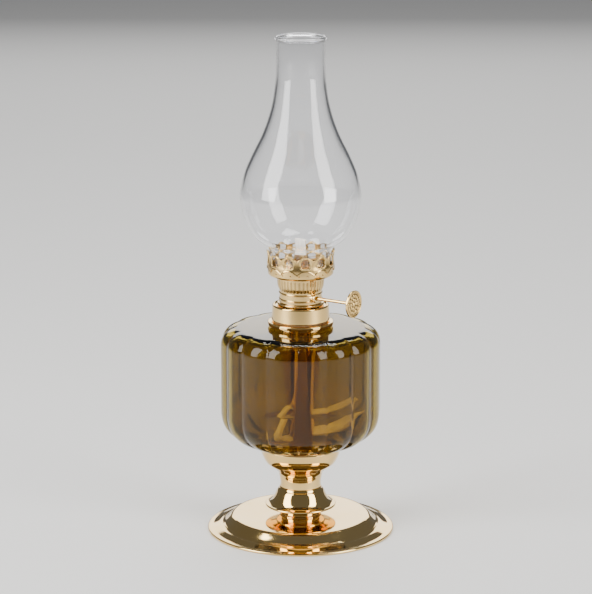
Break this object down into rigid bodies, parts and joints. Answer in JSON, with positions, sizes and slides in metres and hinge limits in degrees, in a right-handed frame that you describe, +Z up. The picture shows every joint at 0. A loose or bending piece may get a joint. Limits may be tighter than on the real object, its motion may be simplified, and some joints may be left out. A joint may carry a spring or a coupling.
{
  "type": "oil lamp",
  "caption": "Small table oil lamp: stepped round brass foot and stem, lobed amber glass font, flat-wick burner with a side knob and a clear bulbous glass chimney.",
  "frame": {"origin": "centre of the foot's underside, on the surface that the lamp stands on", "axes": "+Z up along the lamp's axis, +X along the wick winder's shaft towards its knob"},
  "size_m": [0.0934, 0.0934, 0.2495],
  "materials": {
    "polished_brass": "polished and lacquered",
    "stamped_brass": "stamped, slightly toned",
    "plated_steel": "zinc plated",
    "amber_glass": "pressed, smoky amber",
    "clear_glass": "blown, clear",
    "lamp_cement": "set plaster",
    "cork": "fine agglomerated cork",
    "cotton": "woven flat wick",
    "oily_cotton": "woven flat wick, soaked in oil"
  },
  "bodies": {
    "base": {"foot_disc": "polished_brass", "stem_lower": "polished_brass", "stem_upper": "polished_brass", "font_cup": "polished_brass", "tie_rod": "plated_steel", "tie_nut": "plated_steel", "tie_washer": "plated_steel", "cup_nut": "plated_steel", "cup_cement": "lamp_cement", "font": "amber_glass", "font_collar": "polished_brass", "collar_cement": "lamp_cement"},
    "gasket_ring": {"collar_gasket": "cork"},
    "burner_unit": {"burner_base": "polished_brass", "burner_shell": "stamped_brass", "gallery_bowl": "stamped_brass", "gallery_crown": "stamped_brass", "air_disc": "stamped_brass", "wick_tube": "stamped_brass", "shaft_bush": "polished_brass"},
    "winder": {"knob_shaft": "polished_brass", "spur_wheels": "stamped_brass", "wick_knob": "polished_brass"},
    "wick_strip": {"wick": "cotton", "wick_tail": "oily_cotton"},
    "chimney_glass": {"chimney": "clear_glass"}
  },
  "joints": [
    {"name": "burner_turn", "type": "hinge", "parent": "base", "child": "gasket_ring", "pos_m": [0, 0, 0.1077], "axis": [0, 0, 1], "range_deg": [0, 900]},
    {"name": "burner_lift", "type": "slide", "parent": "gasket_ring", "child": "burner_unit", "axis": [0, 0, 1], "range_m": [0, 0.12], "deforming": ["wick_tail"]},
    {"name": "knob_turn", "type": "hinge", "parent": "burner_unit", "child": "winder", "pos_m": [0, -0.00395, 0.12108], "axis": [1, 0, 0], "range_deg": [-90, 180]},
    {"name": "wick_lift", "type": "slide", "parent": "burner_unit", "child": "wick_strip", "axis": [0, 0, 1], "range_m": [-0.0052, 0.0102]},
    {"name": "chimney_lift", "type": "slide", "parent": "burner_unit", "child": "chimney_glass", "axis": [0, 0, 1], "range_m": [0, 0.12]}
  ],
  "couplings": [
    {"joint": "wick_lift", "follows": "knob_turn", "m_per_rad": 0.0032}
  ]
}
